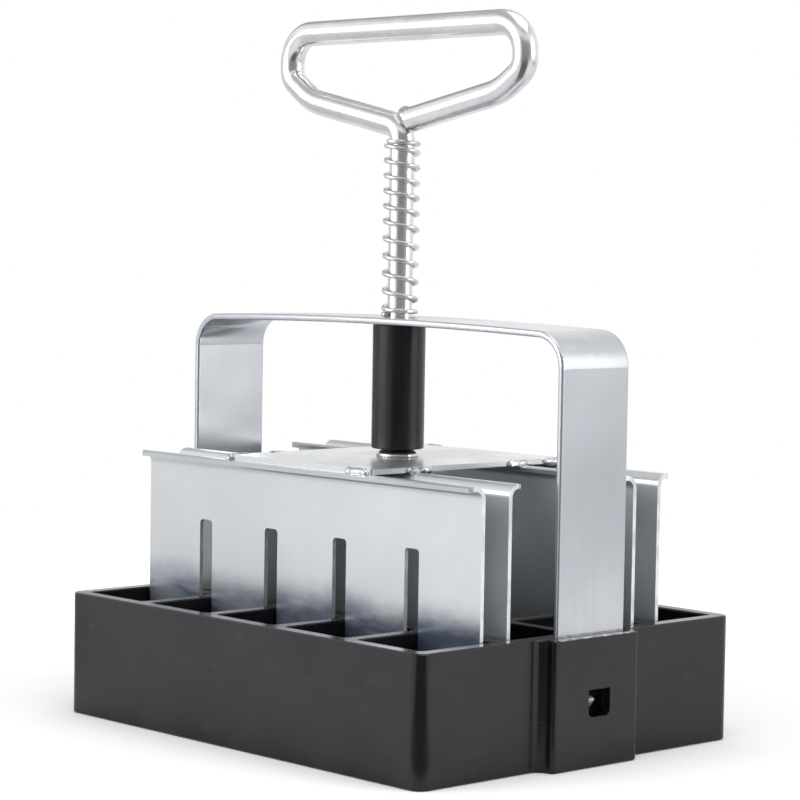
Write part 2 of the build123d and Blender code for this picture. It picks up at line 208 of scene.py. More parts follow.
class Effects:
    """Shader node groups that several finishes share, each built once.

    Attributes:
        FACING: Cosines at which a face starts to count as facing an axis, and does in full.
        NOISE_MEAN: Mean of a noise texture.
    """

    FACING = (0.8, 0.97)
    NOISE_MEAN = 0.5

    @staticmethod
    def _start(name: str, inputs: dict[str, object], output: str = "Mask",
               kind: str = "NodeSocketFloat") -> tuple[NodePad, bpy.types.Node, bpy.types.Node]:
        """Starts a group with its sockets.

        Args:
            name: The group's name.
            inputs: Input names with default values; a tuple makes a vector.
            output: Name of the output.
            kind: Socket type of the output.

        Returns:
            The pad, the group's input node and its output node.
        """
        tree = bpy.data.node_groups.new(name, "ShaderNodeTree")
        pad = NodePad(tree)
        for label, value in inputs.items():
            socket_type = "NodeSocketVector" if isinstance(value, tuple) else "NodeSocketFloat"
            socket = tree.interface.new_socket(label, in_out="INPUT", socket_type=socket_type)
            socket.default_value = value
        tree.interface.new_socket(output, in_out="OUTPUT", socket_type=kind)
        return pad, pad.add("NodeGroupInput"), pad.add("NodeGroupOutput")

    @classmethod
    @cache
    def streak_mask(cls) -> bpy.types.NodeTree:
        """Noise stretched along chosen axes, as a mask.

        Returns:
            A group with Vector, Stretch, Scale, Low, High and Detail in, and Mask out.
        """
        pad, start, end = cls._start(
            "streak_mask",
            {"Vector": (0.0, 0.0, 0.0), "Stretch": (1.0, 1.0, 1.0), "Scale": 50.0, "Low": 0.35,
             "High": 0.65, "Detail": 4.0})
        place = pad.chain("VectorMath", start.outputs["Vector"], start.outputs["Stretch"],
                          operation="MULTIPLY")
        cloud = pad.feed(pad.add("TexNoise"), Vector=place.outputs[0], Scale=start.outputs["Scale"],
                         Detail=start.outputs["Detail"], Roughness=0.58, Distortion=0.3)
        mask = pad.span(cloud.outputs[0], start.outputs["Low"], start.outputs["High"])
        pad.feed(end, Mask=mask)
        return pad.tree

    @classmethod
    @cache
    def relief(cls) -> bpy.types.NodeTree:
        """Slow waves and a fine grain, with their heights in metres, as a normal.

        Returns:
            A group with Vector, Stretch, and a scale and a height for waves and for grain in,
            and Normal out.
        """
        pad, start, end = cls._start(
            "relief",
            {"Vector": (0.0, 0.0, 0.0), "Stretch": (1.0, 1.0, 1.0), "Wave Scale": 80.0,
             "Wave Height": 3e-5, "Grain Scale": 1400.0, "Grain Height": 3e-6},
            "Normal", "NodeSocketVector")
        place = pad.chain("VectorMath", start.outputs["Vector"], start.outputs["Stretch"],
                          operation="MULTIPLY")
        wave = pad.feed(pad.add("TexNoise"), Vector=start.outputs["Vector"],
                        Scale=start.outputs["Wave Scale"], Detail=1.0, Roughness=0.4)
        grain = pad.feed(pad.add("TexNoise"), Vector=place.outputs[0],
                         Scale=start.outputs["Grain Scale"], Detail=2.0, Roughness=0.5)
        height = pad.math("ADD", pad.math("MULTIPLY", wave.outputs[0], start.outputs["Wave Height"]),
                          pad.math("MULTIPLY", grain.outputs[0], start.outputs["Grain Height"]))
        bump = pad.feed(pad.add("Bump"), Strength=1.0, Distance=1.0, Height=height)
        pad.feed(end, Normal=bump.outputs[0])
        return pad.tree

    @classmethod
    @cache
    def facing_mask(cls) -> bpy.types.NodeTree:
        """Marks the faces that look along an axis, either way.

        Returns:
            A group with Axis in and Mask out.
        """
        pad, start, end = cls._start("facing_mask", {"Axis": (1.0, 0.0, 0.0)})
        coord = pad.add("TexCoord")
        dot = pad.chain("VectorMath", coord.outputs["Normal"], start.outputs["Axis"],
                        operation="DOT_PRODUCT")
        mask = pad.span(pad.math("ABSOLUTE", dot.outputs["Value"]), *cls.FACING)
        pad.feed(end, Mask=mask)
        return pad.tree

    @classmethod
    @cache
    def outward_mask(cls) -> bpy.types.NodeTree:
        """Marks the faces that look away from the middle across the object, from some way out.

        Returns:
            A group with Near and Far, the distances from the middle, in and Mask out.
        """
        pad, start, end = cls._start("outward_mask", {"Near": 0.02, "Far": 0.03})
        coord = pad.add("TexCoord")
        facing = pad.feed(pad.add("SeparateXYZ"), Vector=coord.outputs["Normal"])
        place = pad.feed(pad.add("SeparateXYZ"), Vector=coord.outputs["Object"])
        away = pad.math("MULTIPLY", facing.outputs["Y"], place.outputs["Y"])
        pad.feed(end, Mask=pad.span(away, start.outputs["Near"], start.outputs["Far"]))
        return pad.tree

    @classmethod
    @cache
    def height_mask(cls) -> bpy.types.NodeTree:
        """Marks what lies low, with a ragged upper edge.

        Returns:
            A group with Vector, Full, Clear, Ragged and Scale in, and Mask out.
        """
        pad, start, end = cls._start(
            "height_mask",
            {"Vector": (0.0, 0.0, 0.0), "Full": 0.03, "Clear": 0.04, "Ragged": 0.004, "Scale": 90.0})
        split = pad.feed(pad.add("SeparateXYZ"), Vector=start.outputs["Vector"])
        cloud = pad.feed(pad.add("TexNoise"), Vector=start.outputs["Vector"],
                         Scale=start.outputs["Scale"], Detail=4.0, Roughness=0.6)
        wander = pad.math("SUBTRACT", cloud.outputs[0], cls.NOISE_MEAN)
        lift = pad.math("MULTIPLY", wander, start.outputs["Ragged"])
        height = pad.math("ADD", split.outputs["Z"], lift)
        pad.feed(end, Mask=pad.span(height, start.outputs["Clear"], start.outputs["Full"]))
        return pad.tree

    @staticmethod
    def place(pad: NodePad, tree: bpy.types.NodeTree, **inputs: object) -> bpy.types.NodeSocket:
        """Places a group in a material, with inputs as for NodePad.feed, and returns its output."""
        return pad.feed(pad.add("Group", node_tree=tree), **inputs).outputs[0]


# --- Finishes ---


def start_material(name: str) -> tuple[bpy.types.Material, NodePad]:
    """Starts a material with no nodes in it.

    Args:
        name: The material's name.

    Returns:
        The material and the pad for its nodes.
    """
    material = bpy.data.materials.new(name)
    material.use_nodes = True
    return material, NodePad(material.node_tree)


@dataclass(frozen=True)
class Streaks:
    """One use of the streak mask.

    Attributes:
        scale: Scale of the noise.
        low: Noise at which the mask starts.
        high: Noise at which it is full.
        stretch: How the coordinates are squeezed.
        detail: Octaves of the noise.
    """

    scale: float
    low: float
    high: float
    stretch: Triple = (1.0, 1.0, 1.0)
    detail: float = 4.0

    def place(self, pad: NodePad, where: bpy.types.NodeSocket) -> bpy.types.NodeSocket:
        """Places the mask in a material, on its coordinates, and returns it."""
        return Effects.place(pad, Effects.streak_mask(), Vector=where, Stretch=self.stretch,
                             Scale=self.scale, Low=self.low, High=self.high, Detail=self.detail)


@dataclass(frozen=True)
class Relief:
    """Slow waves and a fine grain in a surface.

    Attributes:
        wave_scale: Scale of the waves.
        wave_height: Their height, in metres.
        grain_scale: Scale of the grain.
        grain_height: Its height, in metres.
        grain_stretch: How the grain is squeezed.
    """

    wave_scale: float = 60.0
    wave_height: float = 1.5e-5
    grain_scale: float = 900.0
    grain_height: float = 1.5e-6
    grain_stretch: Triple = (1.0, 1.0, 1.0)

    def place(self, pad: NodePad, where: bpy.types.NodeSocket) -> bpy.types.NodeSocket:
        """Places the relief in a material, on its coordinates, and returns the normal."""
        return Effects.place(pad, Effects.relief(), Vector=where, Stretch=self.grain_stretch,
                             Wave_Scale=self.wave_scale, Wave_Height=self.wave_height,
                             Grain_Scale=self.grain_scale, Grain_Height=self.grain_height)


@dataclass(frozen=True)
class StainAndPaintedGridReflection:
    """A painted reflection of the dark grid, with some staining, low down on the outward faces, broken by
    wisps.

    Attributes:
        colour: Colour of the painted reflection.
        full: Height at which it is full, in metres.
        clear: Height above which there is none, in metres.
        ragged: How far its upper edge wanders, in metres.
        ragged_scale: Scale of that wandering.
        near: Distance from the middle across the object where it starts, in metres.
        far: Distance where nothing of it is held back, in metres.
        wisps: Pattern of the wisps.
        wisp_share: How much of the painted reflection a wisp takes away.
    """

    colour: Colour
    full: float
    clear: float
    ragged: float = 0.008
    ragged_scale: float = 60.0
    near: float = 0.024
    far: float = 0.028
    wisps: Streaks = Streaks(scale=120.0, low=0.42, high=0.66, stretch=(0.4, 1.0, 1.5))
    wisp_share: float = 0.4

    def over(self, pad: NodePad, where: bpy.types.NodeSocket,
             colour: bpy.types.NodeSocket) -> bpy.types.NodeSocket:
        """Lays the painted reflection over a colour.

        Args:
            pad: The material's pad.
            where: The material's coordinates.
            colour: The colour underneath.

        Returns:
            The shaded colour.
        """
        # Painted reflection of the dark grid, with some staining: dark low down on the outward faces,
        # thinned by pale wisps.
        low = Effects.place(pad, Effects.height_mask(), Vector=where, Full=self.full, Clear=self.clear,
                            Ragged=self.ragged, Scale=self.ragged_scale)
        outward = Effects.place(pad, Effects.outward_mask(), Near=self.near, Far=self.far)
        taken = pad.math("MULTIPLY", self.wisps.place(pad, where), self.wisp_share)
        left = pad.math("SUBTRACT", 1.0, taken)
        share = pad.math("MULTIPLY", pad.math("MULTIPLY", low, outward), left)
        return pad.mix(share, colour, self.colour)


@dataclass(frozen=True)
class PaintedEdgeGlints:
    """A painted highlight with bright and dull glints on the sheared edges that face one axis.

    Attributes:
        light: Colour of the bright painted glints.
        dull: Level of the dull flecks, as a share of the bright ones.
        axis: The axis that the edges face.
        flecks: Pattern of the flecks.
    """

    light: Colour
    dull: float = 0.78
    axis: Triple = (1.0, 0.0, 0.0)
    flecks: Streaks = Streaks(scale=420.0, low=0.36, high=0.64, stretch=(1.0, 1.0, 0.6), detail=1.0)

    def over(self, pad: NodePad, where: bpy.types.NodeSocket,
             colour: bpy.types.NodeSocket) -> bpy.types.NodeSocket:
        """Lays the painted edge highlight and glints over a colour.

        Args:
            pad: The material's pad.
            where: The material's coordinates.
            colour: The colour elsewhere.

        Returns:
            The colour with its painted edge glints.
        """
        # Painted highlight and glints on the faces that look along the axis.
        edge = Effects.place(pad, Effects.facing_mask(), Axis=self.axis)
        dull = tuple(channel * self.dull for channel in self.light)
        return pad.mix(edge, colour, pad.mix(self.flecks.place(pad, where), dull, self.light))


@dataclass(frozen=True)
class MetalFinish:
    """A plated or drawn metal with soft patches, fine lines and a relief.

    Attributes:
        name: The material's name.
        light: Colour of the clean plating.
        dark: Colour of its duller patches.
        rough: Lowest and highest roughness.
        patch_scale: Scale of the patches.
        patch_span: Noise at which a patch starts and is full.
        line_stretch: How the coordinates are squeezed along the lines.
        line_scale: Scale of the lines.
        line_span: Noise at which a line starts and is full.
        line_detail: Octaves of the lines' noise.
        line_depth: How dark the lines are.
        metallic: Share of bare metal in the surface.
        relief: Waves and grain of the surface.
        edge: A painted highlight with glints on its sheared edges, if they show.
        low: A painted reflection of the dark grid low down, with some staining, if it has one.
    """

    name: str
    light: Colour
    dark: Colour
    rough: Pair
    patch_scale: float = 60.0
    patch_span: Pair = (0.36, 0.66)
    line_stretch: Triple = (1.0, 1.0, 0.05)
    line_scale: float = 900.0
    line_span: Pair = (0.38, 0.7)
    line_detail: float = 2.0
    line_depth: float = 0.25
    metallic: float = 1.0
    relief: Relief = Relief()
    edge: PaintedEdgeGlints | None = None
    low: StainAndPaintedGridReflection | None = None

    def build(self) -> bpy.types.Material:
        """Builds the material.

        Returns:
            The material.
        """
        material, pad = start_material(self.name)
        where = pad.add("TexCoord").outputs["Object"]
        patch = Streaks(self.patch_scale, *self.patch_span).place(pad, where)
        lines = Streaks(self.line_scale, *self.line_span, self.line_stretch, self.line_detail)
        line = lines.place(pad, where)
        colour = pad.mix(patch, self.dark, self.light)
        worn = tuple(channel * (1.0 - self.line_depth) for channel in self.dark)
        colour = pad.mix(pad.math("MULTIPLY", line, self.line_depth), colour, worn)
        # Lays the painted reflection low down and the painted glints on the sheared edges over the colour.
        for layer in (self.low, self.edge):
            if layer is not None:
                colour = layer.over(pad, where, colour)
        smooth, dull = self.rough
        shader = pad.feed(pad.add("BsdfPrincipled"), Base_Color=colour, Metallic=self.metallic,
                          Roughness=pad.span(patch, 0.0, 1.0, dull, smooth),
                          Normal=self.relief.place(pad, where))
        pad.feed(pad.add("OutputMaterial"), Surface=shader.outputs[0])
        return material


@dataclass(frozen=True)
class PlasticFinish:
    """A dark moulded plastic with cloudy sheen, faint scuffs and a relief.

    Attributes:
        name: The material's name.
        base: Colour of the plastic.
        haze: Colour of its paler clouds.
        rough: Lowest and highest roughness.
        cloud_scale: Scale of the clouds.
        cloud_span: Noise at which a cloud starts and is full.
        cloud_stretch: How the clouds are squeezed.
        scuff: Colour of the scuffs.
        scuff_scale: Scale of the scuffs.
        scuff_span: Noise at which a scuff starts and is full.
        scuff_detail: Octaves of the scuffs' noise.
        scuff_share: How strong the scuffs are.
        scuff_stretch: How the scuffs are squeezed.
        scuff_rough: How much rougher a scuff is.
        relief: Waves and grain of the surface.
        gloss: Specular level.
        tint: Colour of the gloss.
    """

    name: str
    base: Colour
    haze: Colour
    rough: Pair
    cloud_scale: float = 45.0
    cloud_span: Pair = (0.34, 0.68)
    cloud_stretch: Triple = (1.0, 1.0, 1.0)
    scuff: Colour = (0.03, 0.029, 0.031)
    scuff_scale: float = 420.0
    scuff_span: Pair = (0.58, 0.74)
    scuff_detail: float = 5.0
    scuff_share: float = 0.25
    scuff_stretch: Triple = (0.4, 0.4, 1.0)
    scuff_rough: float = 0.08
    relief: Relief = Relief(wave_scale=80.0, wave_height=3e-5, grain_scale=1400.0, grain_height=3e-6)
    gloss: float = 0.5
    tint: Colour = (1.0, 0.92, 1.0)

    def build(self) -> bpy.types.Material:
        """Builds the material.

        Returns:
            The material.
        """
        material, pad = start_material(self.name)
        where = pad.add("TexCoord").outputs["Object"]
        cloud = Streaks(self.cloud_scale, *self.cloud_span, self.cloud_stretch).place(pad, where)
        scuffs = Streaks(self.scuff_scale, *self.scuff_span, self.scuff_stretch, self.scuff_detail)
        scuff = scuffs.place(pad, where)
        colour = pad.mix(cloud, self.base, self.haze)
        colour = pad.mix(pad.math("MULTIPLY", scuff, self.scuff_share), colour, self.scuff)
        rough = pad.math("ADD", pad.span(cloud, 0.0, 1.0, *self.rough),
                         pad.math("MULTIPLY", scuff, self.scuff_rough))
        shader = pad.feed(pad.add("BsdfPrincipled"), Base_Color=colour, Roughness=rough,
                          Normal=self.relief.place(pad, where), Specular_IOR_Level=self.gloss,
                          Specular_Tint=self.tint)
        pad.feed(pad.add("OutputMaterial"), Surface=shader.outputs[0])
        return material


@dataclass(frozen=True)
class FinishSet:
    """Every finish of the blocker."""

    plastic: PlasticFinish = PlasticFinish(
        "charcoal_moulded_plastic", base=(0.0045, 0.0042, 0.0046), haze=(0.0078, 0.0073, 0.008),
        rough=(0.17, 0.27))
    sleeve: PlasticFinish = PlasticFinish(
        "black_sleeve_plastic", base=(0.0035, 0.0033, 0.0033), haze=(0.0085, 0.008, 0.008),
        rough=(0.24, 0.34), cloud_scale=160.0, cloud_stretch=(1.0, 1.0, 0.12),
        scuff_stretch=(1.0, 1.0, 0.15), scuff_share=0.15, gloss=0.42,
        relief=Relief(wave_scale=80.0, wave_height=1e-5, grain_scale=1400.0, grain_height=3e-6))
    flash: PlasticFinish = PlasticFinish(
        "pale_worn_plastic", base=(0.16, 0.158, 0.16), haze=(0.55, 0.55, 0.55), rough=(0.3, 0.45),
        cloud_scale=600.0,
        relief=Relief(wave_height=0.0, grain_scale=1400.0, grain_height=3e-6))
    sheet: MetalFinish = MetalFinish(
        "bright_zinc_sheet", light=(0.69, 0.71, 0.718), dark=(0.6, 0.625, 0.645), rough=(0.23, 0.27),
        patch_scale=20.0, line_stretch=(0.08, 1.0, 1.0), line_depth=0.05, metallic=0.62,
        relief=Relief(wave_scale=45.0, wave_height=6e-5, grain_height=0.0),
        # Painted highlight and glints on the combs' sheared ends.
        edge=PaintedEdgeGlints(light=(0.82, 0.83, 0.84)),
        # Painted reflection of the dark grid low on the combs, with some staining.
        low=StainAndPaintedGridReflection(colour=(0.13, 0.16, 0.23), full=0.028, clear=0.0375))
    plate: MetalFinish = MetalFinish(
        "zinc_bridge_sheet", light=(0.74, 0.75, 0.76), dark=(0.64, 0.66, 0.68), rough=(0.2, 0.28),
        patch_scale=30.0, line_stretch=(0.08, 1.0, 1.0), line_depth=0.06, metallic=0.8,
        relief=Relief(wave_scale=45.0, wave_height=1e-4, grain_height=0.0))
    strap: MetalFinish = MetalFinish(
        "satin_zinc_strap", light=(0.63, 0.65, 0.68), dark=(0.53, 0.555, 0.59), rough=(0.2, 0.25),
        patch_scale=26.0, line_depth=0.12, metallic=0.9,
        relief=Relief(wave_scale=42.0, wave_height=2.6e-4, grain_scale=1800.0, grain_height=6e-7,
                      grain_stretch=(1.0, 1.0, 0.04)))
    rod: MetalFinish = MetalFinish(
        "bright_drawn_rod", light=(0.8, 0.8, 0.81), dark=(0.7, 0.7, 0.71), rough=(0.19, 0.26),
        patch_scale=90.0, line_depth=0.14,
        relief=Relief(wave_height=6e-6, grain_stretch=(1.0, 1.0, 0.05)))
    wire: MetalFinish = MetalFinish(
        "bright_spring_wire", light=(0.74, 0.74, 0.735), dark=(0.6, 0.6, 0.595), rough=(0.26, 0.34),
        patch_scale=160.0, line_depth=0.15, relief=Relief(wave_height=4e-6))
    weld: MetalFinish = MetalFinish(
        "plated_weld_metal", light=(0.7, 0.71, 0.725), dark=(0.46, 0.475, 0.5), rough=(0.24, 0.36),
        patch_scale=300.0, line_depth=0.12, line_stretch=(1.0, 1.0, 1.0),
        relief=Relief(wave_scale=500.0, wave_height=2e-5, grain_height=4e-6))
    press: MetalFinish = MetalFinish(
        "zinc_press_sheet", light=(0.56, 0.575, 0.59), dark=(0.4, 0.41, 0.43), rough=(0.3, 0.42),
        patch_scale=80.0, line_depth=0.2)


# --- Piece helpers ---


def dress(names: list[str], material: bpy.types.Material) -> None:
    """Gives CAD nodes a material.

    Args:
        names: The nodes.
        material: The material for them.
    """
    for name in names:
        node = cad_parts[name]
        if not node.material_slots:
            node.data.materials.append(material)
        for slot in node.material_slots:
            slot.material = material
        log.info("dressed %s with %s", name, material.name)


def link_mesh(bm: bmesh.types.BMesh, name: str) -> bpy.types.Object:
    """Makes an object of a bmesh.

    Args:
        bm: The shape, in metres and in place. It is freed.
        name: Name of the object and its mesh.

    Returns:
        The new object.
    """
    mesh = bpy.data.meshes.new(name)
    bm.to_mesh(mesh)
    bm.free()
    made = bpy.data.objects.new(name, mesh)
    bpy.context.scene.collection.objects.link(made)
    return made


def finish_piece(bm: bmesh.types.BMesh, name: str, material: bpy.types.Material, body: Body,
                 replaces: tuple[str, ...] = ()) -> bpy.types.Object:
    """Makes a smooth piece of a bmesh, dresses it and lets it ride.

    Args:
        bm: The shape, in metres and in place. It is freed.
        name: Name of the piece.
        material: Its material.
        body: The body it rides on.
        replaces: CAD nodes that it stands for.

    Returns:
        The new object.
    """
    bmesh.ops.recalc_face_normals(bm, faces=bm.faces[:])
    for face in bm.faces:
        face.smooth = True
    piece = link_mesh(bm, name)
    piece.data.materials.append(material)
    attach(piece, body.value)
    if replaces:
        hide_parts(*replaces)
    log.info("%s: %d faces on %s", name, len(piece.data.polygons), body.value)
    return piece


def turn_about_z(degrees: float) -> Matrix:
    """Gives the matrix of a turn about the upright axis."""
    return Matrix.Rotation(math.radians(degrees), 3, "Z")


def roughen(verts: list[bmesh.types.BMVert], depth: float, size: float, seed: float) -> None:
    """Moves vertices along their normals by smooth noise.

    Args:
        verts: The vertices.
        depth: Greatest move, in mm.
        size: Size of the lumps, in mm.
        seed: Shifts the noise.
    """
    shift = Vector([seed * share for share in SEED_SPREAD])
    moves = [noise.noise(v.co / (size * MM) + shift) * (depth * MM) for v in verts]
    for vert, move in zip(verts, moves):
        vert.co += vert.normal * move


# --- The blocker's sub-assemblies ---


@dataclass
class BlockGrid:
    """The moulded grid of twenty cells, with a little flash at the strap's sockets.

    Attributes:
        finishes: The blocker's finishes.
        mouth_x: Middle of the thin wall outside each socket, in mm.
        mouth_z: Height of the socket's mouth, in mm.
        ridge: Thickness, length and height of the flash there, in mm. Half of it stands clear.
        cuts: How finely the flash is divided along its length.
        lump: Length of the flash's lumps, in mm.
        lane: Keeps the lumps of the two sockets different.
        mean: Mean height of the flash, as a share of what can stand clear.
        least: Its least height, as such a share.
    """

    finishes: FinishSet
    mouth_x: float = 64.22
    mouth_z: float = 28.5
    ridge: Triple = (0.22, 23.6, 0.5)
    cuts: int = 90
    lump: float = 0.9
    lane: float = 5.0
    mean: float = 0.45
    least: float = 0.1

    def build(self) -> None:
        """Dresses the grid and adds the flash."""
        dress(["block_grid"], self.finishes.plastic.build())
        bm = bmesh.new()
        for side in (-1, 1):
            self._ridge(bm, side)
        finish_piece(bm, "moulding_flash", self.finishes.flash.build(), Body.FRAME)

    def _ridge(self, bm: bmesh.types.BMesh, side: int) -> None:
        """Adds the ragged ridge of flash at one socket.

        Args:
            bm: The bmesh that takes it.
            side: Which end of the grid, -1 or 1.
        """
        _, length, height = self.ridge
        verts = bmesh.ops.create_cube(bm, size=1.0)["verts"]
        bmesh.ops.scale(bm, vec=Vector(self.ridge) * MM, verts=verts)
        bmesh.ops.translate(bm, verts=verts, vec=Vector((side * self.mouth_x, 0.0, self.mouth_z)) * MM)
        along = {edge for vert in verts for edge in vert.link_edges
                 if abs(edge.verts[0].co.y - edge.verts[1].co.y) > length / 2 * MM}
        bmesh.ops.subdivide_edges(bm, edges=list(along), cuts=self.cuts, use_grid_fill=True)
        for vert in bm.verts:
            if vert.co.z > self.mouth_z * MM and vert.co.x * side > 0.0:
                ragged = noise.noise(Vector((side * self.lane, vert.co.y / (self.lump * MM), 0.0)))
                share = max(self.least, min(1.0, self.mean + ragged))
                vert.co.z = (self.mouth_z + height / 2 * share) * MM


@dataclass
class HandleStrap:
    """The zinc strap that bridges the grid.

    Attributes:
        finishes: The blocker's finishes.
    """

    finishes: FinishSet

    def build(self) -> None:
        """Dresses the strap."""
        dress(["handle_strap"], self.finishes.strap.build())


@dataclass
class ReturnSpring:
    """The coil spring on the rod, with closed ends.

    Attributes:
        finishes: The blocker's finishes.
        low: Height of its lower end, in mm.
        high: Height of its upper end, in mm.
        coil: Radius of the coil, in mm.
        wire: Diameter of the wire, in mm.
        start: Angle of the lower end, in degrees.
        open_turns: Turns between the closed ends.
        shut: Rise of a closed turn, in diameters of the wire.
        spread: How much wider than even the lower turns stand, as a share.
        stroke: How far the plunger presses it down, in mm. Not used.
        sides: Sides of the wire.
        steps: Steps in a turn.
    """

    finishes: FinishSet
    low: float = 95.0
    high: float = 135.8
    coil: float = 3.75
    wire: float = 1.1
    start: float = 260.0
    open_turns: float = 10.0
    shut: float = 1.02
    spread: float = 0.07
    stroke: float = 18.0
    sides: int = 12
    steps: int = 40

    def build(self) -> None:
        """Winds the spring and gives it a mesh of its own."""
        bm = bmesh.new()
        verts = bmesh.ops.create_circle(bm, segments=self.sides, radius=self.wire / 2 * MM)["verts"]
        bmesh.ops.rotate(bm, verts=verts, cent=(0, 0, 0), matrix=Matrix.Rotation(math.radians(90), 3, "X"))
        bmesh.ops.translate(bm, verts=verts, vec=Vector((self.coil, 0.0, self.low + self.wire / 2)) * MM)
        bmesh.ops.rotate(bm, verts=verts, cent=(0, 0, 0), matrix=turn_about_z(self.start))
        geom = verts + bm.edges[:]
        for turns, climb in self._stages():
            spun = bmesh.ops.spin(bm, geom=geom, cent=(0, 0, 0), axis=(0, 0, 1),
                                  dvec=(0, 0, climb * MM / self.steps), angle=-math.tau * turns,
                                  steps=round(turns * self.steps), use_duplicate=False)
            geom = spun["geom_last"]
        bmesh.ops.holes_fill(bm, edges=[edge for edge in bm.edges if edge.is_boundary], sides=0)
        piece = finish_piece(bm, "return_spring_coil", self.finishes.wire.build(), Body.FRAME,
                             ("return_spring",))
        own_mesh(piece)

    def _stages(self) -> list[Pair]:
        """Divides the spring into closed and open stretches.

        Returns:
            The turns of each stretch, and its rise in a turn in mm, from the lower end up.
        """
        closed = self.wire * self.shut
        even = (self.high - self.low - self.wire - 2 * closed) / self.open_turns
        half = self.open_turns / 2
        wide, narrow = even * (1 + self.spread), even * (1 - self.spread)
        return [(1.0, closed), (half, wide), (half, narrow), (1.0, closed)]


@dataclass
class PushRod:
    """The bent rod with its grip, its sleeve and both welds.

    Attributes:
        finishes: The blocker's finishes.
        weld_place: Centre of the grip's weld, in mm.
        weld_radius: Its radius before it is shaped, in mm.
        weld_shape: Its size along each axis, as shares of that.
        weld_depth: Height of its lumps, in mm.
        weld_lump: Size of its lumps, in mm.
        weld_seed: Shifts its lumps.
        collar_low: Height of the collar's foot, in mm.
        collar_high: Height of the collar's top, in mm.
        collar_foot: Radius and height over the foot of its lower corners, in mm.
        collar_brow: Radius and depth under the top of its upper corners, in mm.
        collar_steps: Steps round the collar.
        ripple_radius: Radius outside which the collar is rippled, in mm.
        ripple: Depth of the ripples, as a share of the radius.
        ripples: Ripples round the collar.
        sway: How far the ripples crowd, in radians.
        sways: How often they crowd round the collar.
    """

    finishes: FinishSet
    weld_place: Triple = (1.8, 0.0, 140.9)
    weld_radius: float = 2.75
    weld_shape: Triple = (0.96, 0.93, 0.93)
    weld_depth: float = 0.28
    weld_lump: float = 1.6
    weld_seed: float = 3.0
    collar_low: float = 62.8
    collar_high: float = 64.6
    collar_foot: tuple[Pair, ...] = ((2.6, 0.0), (5.0, 0.0), (5.1, 0.35), (4.6, 0.95))
    collar_brow: tuple[Pair, ...] = ((3.9, 0.4), (3.5, 0.05), (2.6, 0.05))
    collar_steps: int = 96
    ripple_radius: float = 3.2
    ripple: float = 0.02
    ripples: float = 6.0
    sway: float = 2.0
    sways: float = 2.0

    def build(self) -> None:
        """Dresses the rod and the sleeve, and models both welds."""
        dress(["push_rod"], self.finishes.rod.build())
        dress(["stop_sleeve"], self.finishes.sleeve.build())
        metal = self.finishes.weld.build()
        self._grip_weld(metal)
        self._collar_weld(metal)

    def _grip_weld(self, metal: bpy.types.Material) -> None:
        """Models the lump that closes the grip on the neck.

        Args:
            metal: Material of the weld.
        """
        bm = bmesh.new()
        verts = bmesh.ops.create_icosphere(bm, subdivisions=4, radius=self.weld_radius * MM)["verts"]
        bmesh.ops.scale(bm, vec=self.weld_shape, verts=verts)
        bmesh.ops.translate(bm, verts=verts, vec=Vector(self.weld_place) * MM)
        bm.normal_update()
        roughen(verts, self.weld_depth, self.weld_lump, self.weld_seed)
        finish_piece(bm, "grip_weld_lump", metal, Body.PLUNGER, ("grip_weld",))

    def _collar_weld(self, metal: bpy.types.Material) -> None:
        """Models the rippled ring of weld at the rod's foot.

        Args:
            metal: Material of the weld.
        """
        bm = bmesh.new()
        profile = [(radius, self.collar_low + rise) for radius, rise in self.collar_foot]
        profile += [(radius, self.collar_high - drop) for radius, drop in self.collar_brow]
        verts = [bm.verts.new(Vector((radius, 0.0, height)) * MM) for radius, height in profile]
        edges = [bm.edges.new(ends) for ends in zip(verts, verts[1:] + verts[:1])]
        bmesh.ops.spin(bm, geom=verts + edges, cent=(0, 0, 0), axis=(0, 0, 1), angle=math.tau,
                       steps=self.collar_steps, use_merge=True, use_duplicate=False)
        bmesh.ops.remove_doubles(bm, verts=bm.verts[:], dist=MERGE)
        for vert in bm.verts:
            if math.hypot(vert.co.x, vert.co.y) > self.ripple_radius * MM:
                angle = math.atan2(vert.co.y, vert.co.x)
                wave = math.sin(angle * self.ripples + self.sway * math.sin(angle * self.sways))
                grow = 1.0 - self.ripple * (1.0 + wave)
                vert.co.x *= grow
                vert.co.y *= grow
        finish_piece(bm, "rod_collar_weld_ring", metal, Body.PLUNGER, ("rod_collar_weld",))


